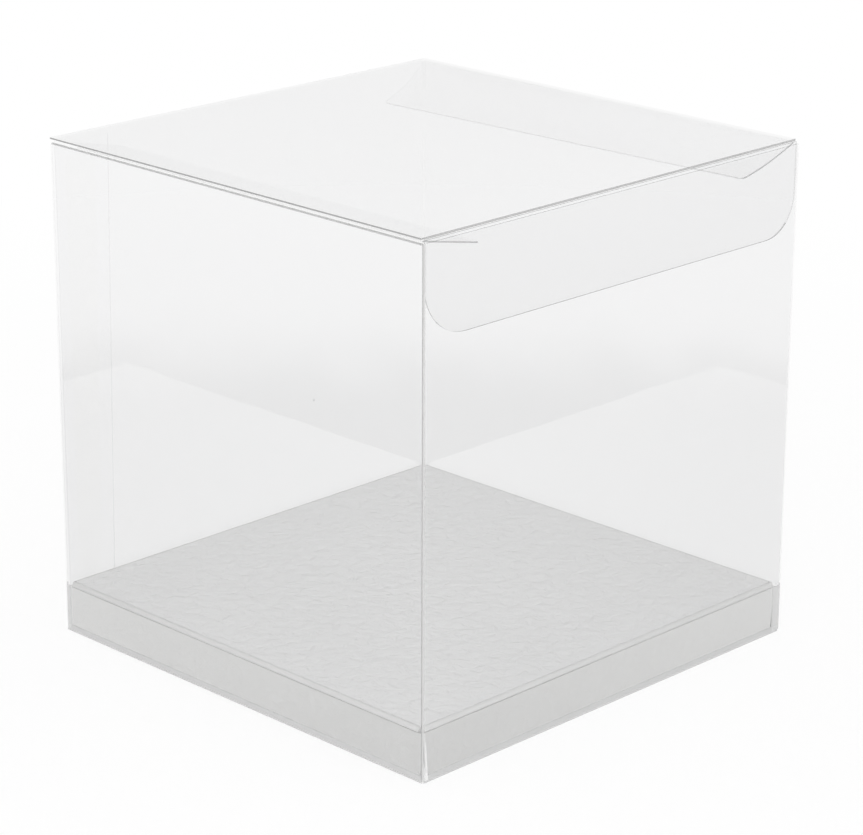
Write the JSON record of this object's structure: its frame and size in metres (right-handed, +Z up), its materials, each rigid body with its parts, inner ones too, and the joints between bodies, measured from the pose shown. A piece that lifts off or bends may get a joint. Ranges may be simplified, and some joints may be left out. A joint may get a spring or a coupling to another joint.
{
  "type": "folding favour box",
  "caption": "Clear folding cube box with a hinged tuck lid, dust flaps, a locking bottom and a lift-out white card tray.",
  "frame": {"origin": "middle of the box's base, on the surface that it stands on", "axes": "+Z up, -Y out of the front, which has the tuck flap, +X to the right seen from the front"},
  "size_m": [0.1, 0.1, 0.1],
  "materials": {
    "clear_sheet": "glossy clear sheet",
    "scored_fold": "scored clear sheet, slightly clouded",
    "clear_glue": "dried clear glue",
    "white_card": "matt white card, lightly grained"
  },
  "bodies": {
    "sleeve": {"front_wall": "clear_sheet", "right_wall": "clear_sheet", "back_wall": "clear_sheet", "left_wall": "clear_sheet", "front_right_corner_fold": "scored_fold", "back_right_corner_fold": "scored_fold", "front_left_corner_fold": "scored_fold", "glue_flap_fold": "scored_fold", "glue_flap": "clear_sheet", "seam_glue": "clear_glue", "bottom_front_panel": "clear_sheet", "bottom_front_fold": "scored_fold", "bottom_back_panel": "clear_sheet", "bottom_back_fold": "scored_fold", "bottom_right_panel": "clear_sheet", "bottom_right_fold": "scored_fold", "bottom_left_panel": "clear_sheet", "bottom_left_fold": "scored_fold"},
    "lid": {"lid_fold": "scored_fold", "lid_panel": "clear_sheet", "tuck_fold": "scored_fold"},
    "tuck": {"tuck_flap": "clear_sheet"},
    "right_dust": {"right_dust_flap_fold": "scored_fold", "right_dust_flap": "clear_sheet"},
    "left_dust": {"left_dust_flap_fold": "scored_fold", "left_dust_flap": "clear_sheet"},
    "tray": {"tray_deck": "white_card", "tray_front_skirt": "white_card", "tray_front_fold": "white_card", "tray_right_skirt": "white_card", "tray_right_fold": "white_card", "tray_back_skirt": "white_card", "tray_back_fold": "white_card", "tray_left_skirt": "white_card", "tray_left_fold": "white_card"}
  },
  "joints": [
    {"name": "lid_hinge", "type": "hinge", "parent": "sleeve", "child": "lid", "pos_m": [0, 0.04985, 0.09985], "axis": [-1, 0, 0], "range_deg": [0, 180]},
    {"name": "tuck_hinge", "type": "hinge", "parent": "lid", "child": "tuck", "pos_m": [0, -0.04925, 0.09985], "axis": [-1, 0, 0], "range_deg": [-22.5, 0]},
    {"name": "right_dust_hinge", "type": "hinge", "parent": "sleeve", "child": "right_dust", "pos_m": [0.0496, 0, 0.0994], "axis": [0, 1, 0], "range_deg": [-32, 18]},
    {"name": "left_dust_hinge", "type": "hinge", "parent": "sleeve", "child": "left_dust", "pos_m": [-0.0496, 0, 0.0994], "axis": [0, -1, 0], "range_deg": [-38, 12]},
    {"name": "tray_lift", "type": "slide", "parent": "sleeve", "child": "tray", "axis": [0, 0, 1], "range_m": [0, 0.07]}
  ],
  "couplings": [
    {"joint": "tuck_hinge", "follows": "lid_hinge", "ratio": -0.125}
  ]
}
